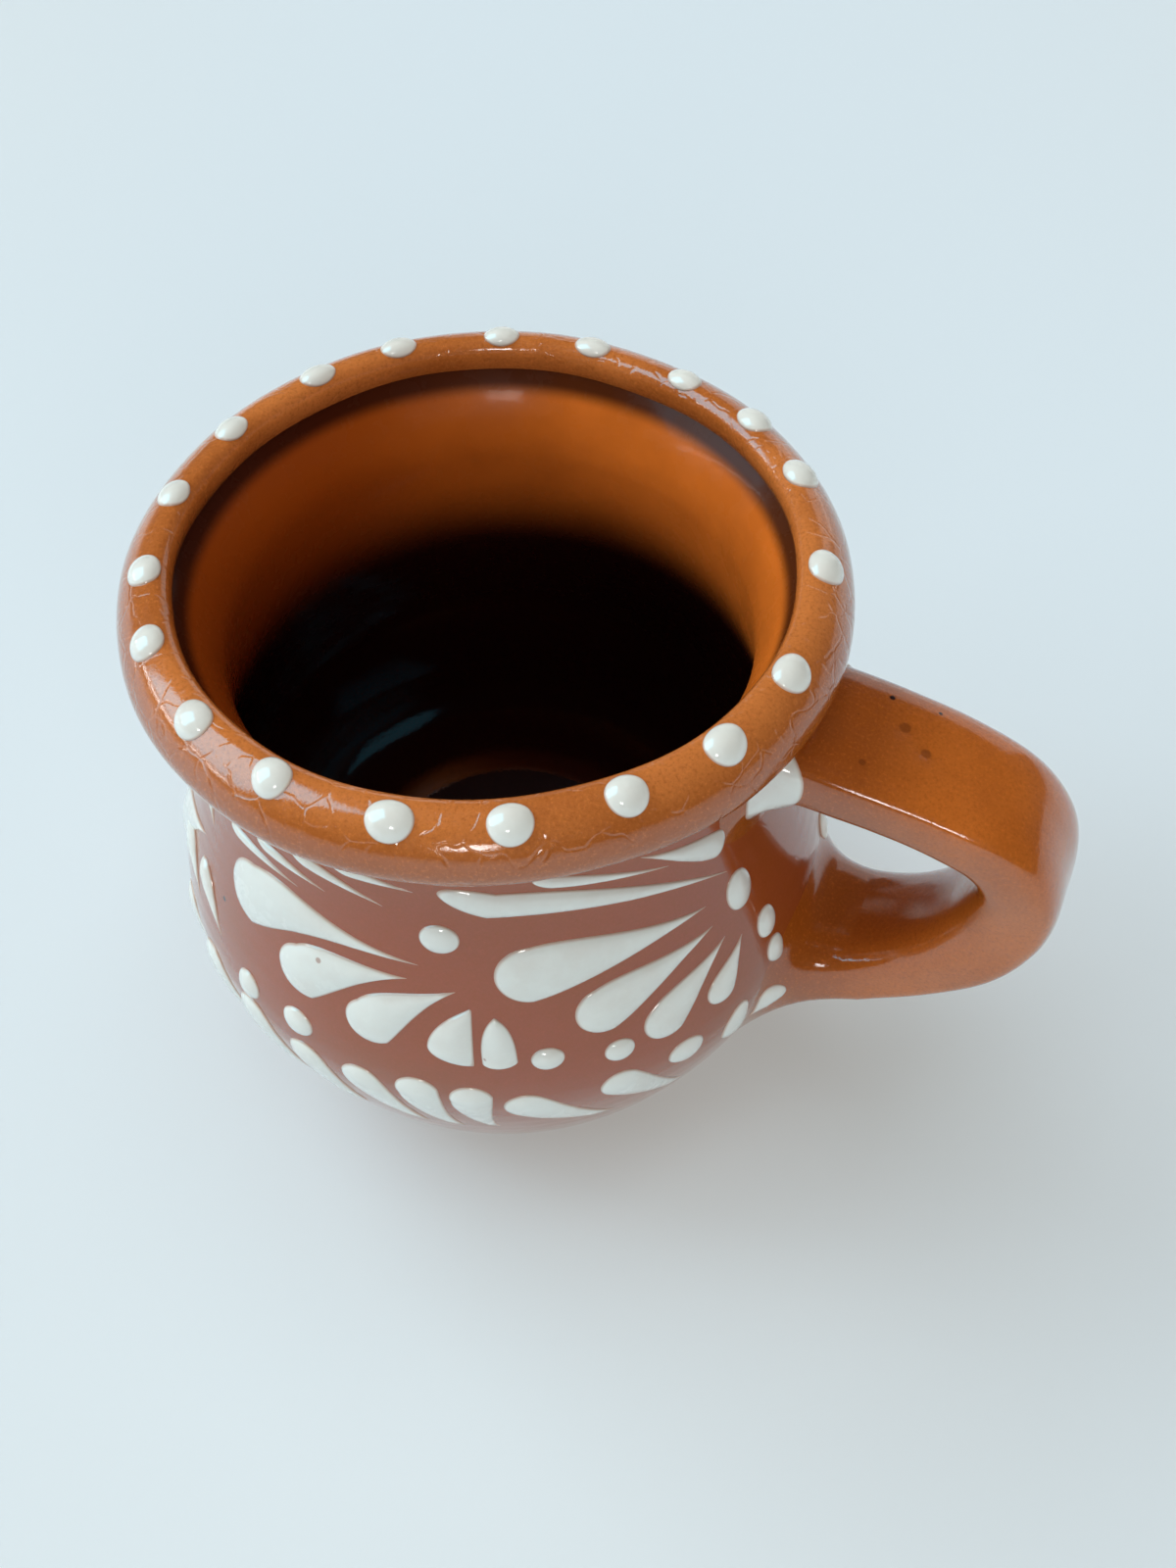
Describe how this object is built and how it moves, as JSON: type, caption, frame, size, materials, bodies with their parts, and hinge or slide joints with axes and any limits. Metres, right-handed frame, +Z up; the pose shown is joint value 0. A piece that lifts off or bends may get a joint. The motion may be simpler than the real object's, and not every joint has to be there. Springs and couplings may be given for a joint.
{
  "type": "clay mug",
  "caption": "Round-bellied glazed clay mug with a rolled lip, a strap handle and raised white slip petals, for hot drinks.",
  "frame": {"origin": "middle of the flat foot, on the surface that the mug stands on", "axes": "+Z up along the body's axis of turning, +X out along the handle, +Y to the left of the handle seen from outside"},
  "size_m": [0.1237, 0.0928, 0.0938],
  "materials": {
    "glazed_clay": "clear gloss glaze over red clay",
    "white_slip": "clear gloss glaze over raised white slip"
  },
  "bodies": {
    "root": {"vessel_body": "glazed_clay", "rim_coil": "glazed_clay", "handle_strap": "glazed_clay", "upper_luting": "glazed_clay", "lower_luting": "glazed_clay", "rim_drops": "white_slip", "handle_spray": "white_slip", "front_spray": "white_slip", "left_spray": "white_slip", "back_spray": "white_slip", "far_spray": "white_slip", "foot_commas": "white_slip", "beside_root_drops": "white_slip", "on_root_drops": "white_slip"}
  },
  "joints": []
}
